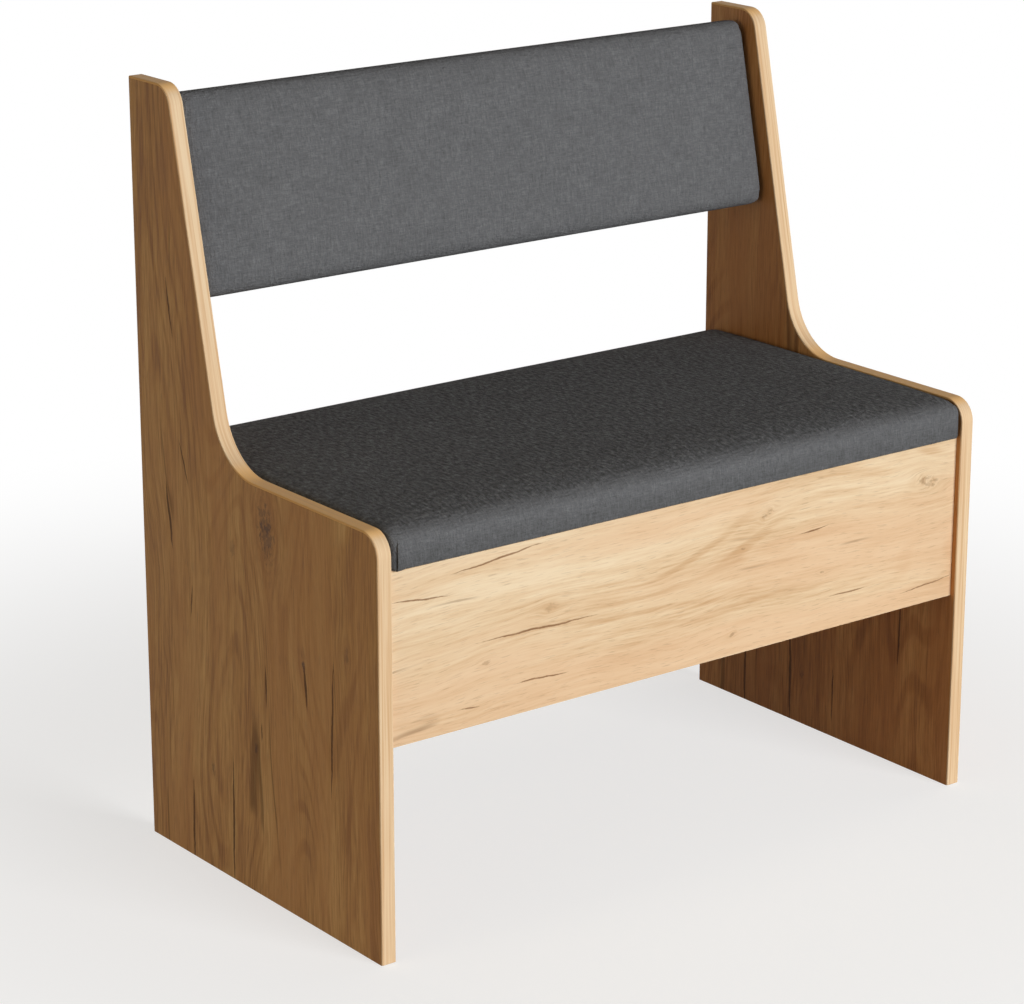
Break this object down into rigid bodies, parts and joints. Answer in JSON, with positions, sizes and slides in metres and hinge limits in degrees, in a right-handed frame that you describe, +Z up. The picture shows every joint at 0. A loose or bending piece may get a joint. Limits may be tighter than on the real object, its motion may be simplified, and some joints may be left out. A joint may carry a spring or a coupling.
{
  "type": "storage bench",
  "caption": "Straight bench of oak-look panels with a padded lift-up seat over a storage chest and a raked padded backrest between its side panels.",
  "frame": {"origin": "on the floor, under the middle of the bench's width and depth", "axes": "+X along the width, the front faces -Y, +Z up"},
  "size_m": [0.766, 0.415, 0.8],
  "materials": {
    "oak_board": "satin",
    "oak_edge_band": "satin",
    "raw_board": "matte",
    "foam": "matte",
    "woven_cover": "matte",
    "beech": "matte",
    "cast_zinc": "satin",
    "zinc_plated_steel": "satin"
  },
  "bodies": {
    "carcass": {"apron_cam_locks": "cast_zinc", "backrest_board": "raw_board", "backrest_bracket_screws": "zinc_plated_steel", "backrest_cover": "woven_cover", "backrest_foam": "foam", "bottom_cam_locks": "cast_zinc", "cam_bolts": "zinc_plated_steel", "front_apron": "oak_board", "front_apron_edge_bands": "oak_edge_band", "hinge_rail_screws": "zinc_plated_steel", "left_edge_band": "oak_edge_band", "left_hinge_pin": "zinc_plated_steel", "left_hinge_rail_leaf": "zinc_plated_steel", "left_side_panel": "oak_board", "lower_left_backrest_bracket": "zinc_plated_steel", "lower_right_backrest_bracket": "zinc_plated_steel", "rail_cam_locks": "cast_zinc", "rear_rail": "oak_board", "rear_rail_edge_bands": "oak_edge_band", "right_edge_band": "oak_edge_band", "right_hinge_pin": "zinc_plated_steel", "right_hinge_rail_leaf": "zinc_plated_steel", "right_side_panel": "oak_board", "storage_bottom": "oak_board", "upper_left_backrest_bracket": "zinc_plated_steel", "upper_right_backrest_bracket": "zinc_plated_steel", "wood_dowels": "beech"},
    "seat_lid": {"seat_board": "raw_board", "seat_foam": "foam", "seat_cover": "woven_cover", "left_hinge_seat_leaf": "zinc_plated_steel", "right_hinge_seat_leaf": "zinc_plated_steel", "hinge_seat_screws": "zinc_plated_steel"}
  },
  "joints": [
    {"name": "seat_lid_hinge", "type": "hinge", "parent": "carcass", "child": "seat_lid", "pos_m": [0, 0.1388, 0.3897], "axis": [-1, 0, 0], "range_deg": [0, 65]}
  ]
}
